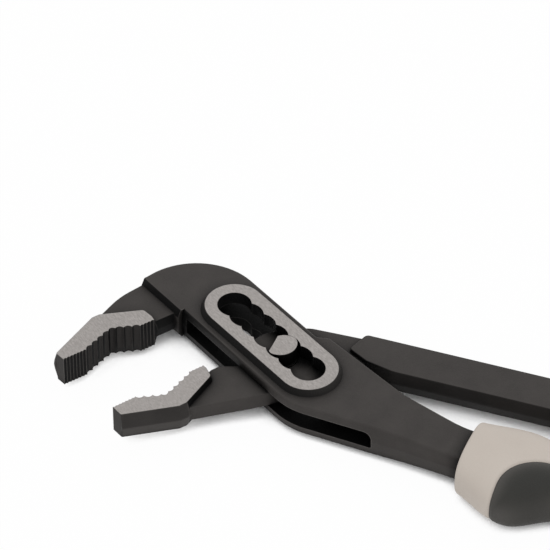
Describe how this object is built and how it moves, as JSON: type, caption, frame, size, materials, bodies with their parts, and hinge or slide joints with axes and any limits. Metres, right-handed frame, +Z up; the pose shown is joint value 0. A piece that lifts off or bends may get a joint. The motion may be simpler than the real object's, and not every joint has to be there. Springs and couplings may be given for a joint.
{
  "type": "water pump pliers",
  "caption": "Water pump pliers with a box joint, a pivot pin that steps along a notched slot, angled serrated jaws and two-component grips with finger guards.",
  "frame": {"origin": "middle of the underside of the tool's box, lying flat with the front of its box joint up", "axes": "+X along the handles, away from the jaws; +Y from the lower handle towards the upper one; +Z up, along the pivot pin"},
  "size_m": [0.2674, 0.0756, 0.0152],
  "materials": {
    "outer_steel": "dark phosphated forging with bright ground rim and jaw faces",
    "inner_steel": "dark phosphated forging with bright ground jaw faces",
    "pin_steel": "ground",
    "grip_hard": "satin, light warm grey",
    "grip_soft": "matt, dark grey"
  },
  "bodies": {
    "outer": {"outer_half": "outer_steel", "outer_grip_sleeve": "grip_hard", "outer_grip_pad": "grip_soft"},
    "collar": {"pin_collar": "pin_steel"},
    "inner": {"inner_half": "inner_steel", "pivot_pin": "pin_steel", "inner_grip_sleeve": "grip_hard", "inner_grip_pad": "grip_soft"}
  },
  "joints": [
    {"name": "notch_slide", "type": "slide", "parent": "outer", "child": "collar", "axis": [0.8704, -0.4924, 0], "range_m": [-0.0226, 0.0113]},
    {"name": "pivot_hinge", "type": "hinge", "parent": "collar", "child": "inner", "pos_m": [-0.07231, 0.00385, 0.0076], "axis": [0, 0, 1], "range_deg": [-1, 45]}
  ]
}
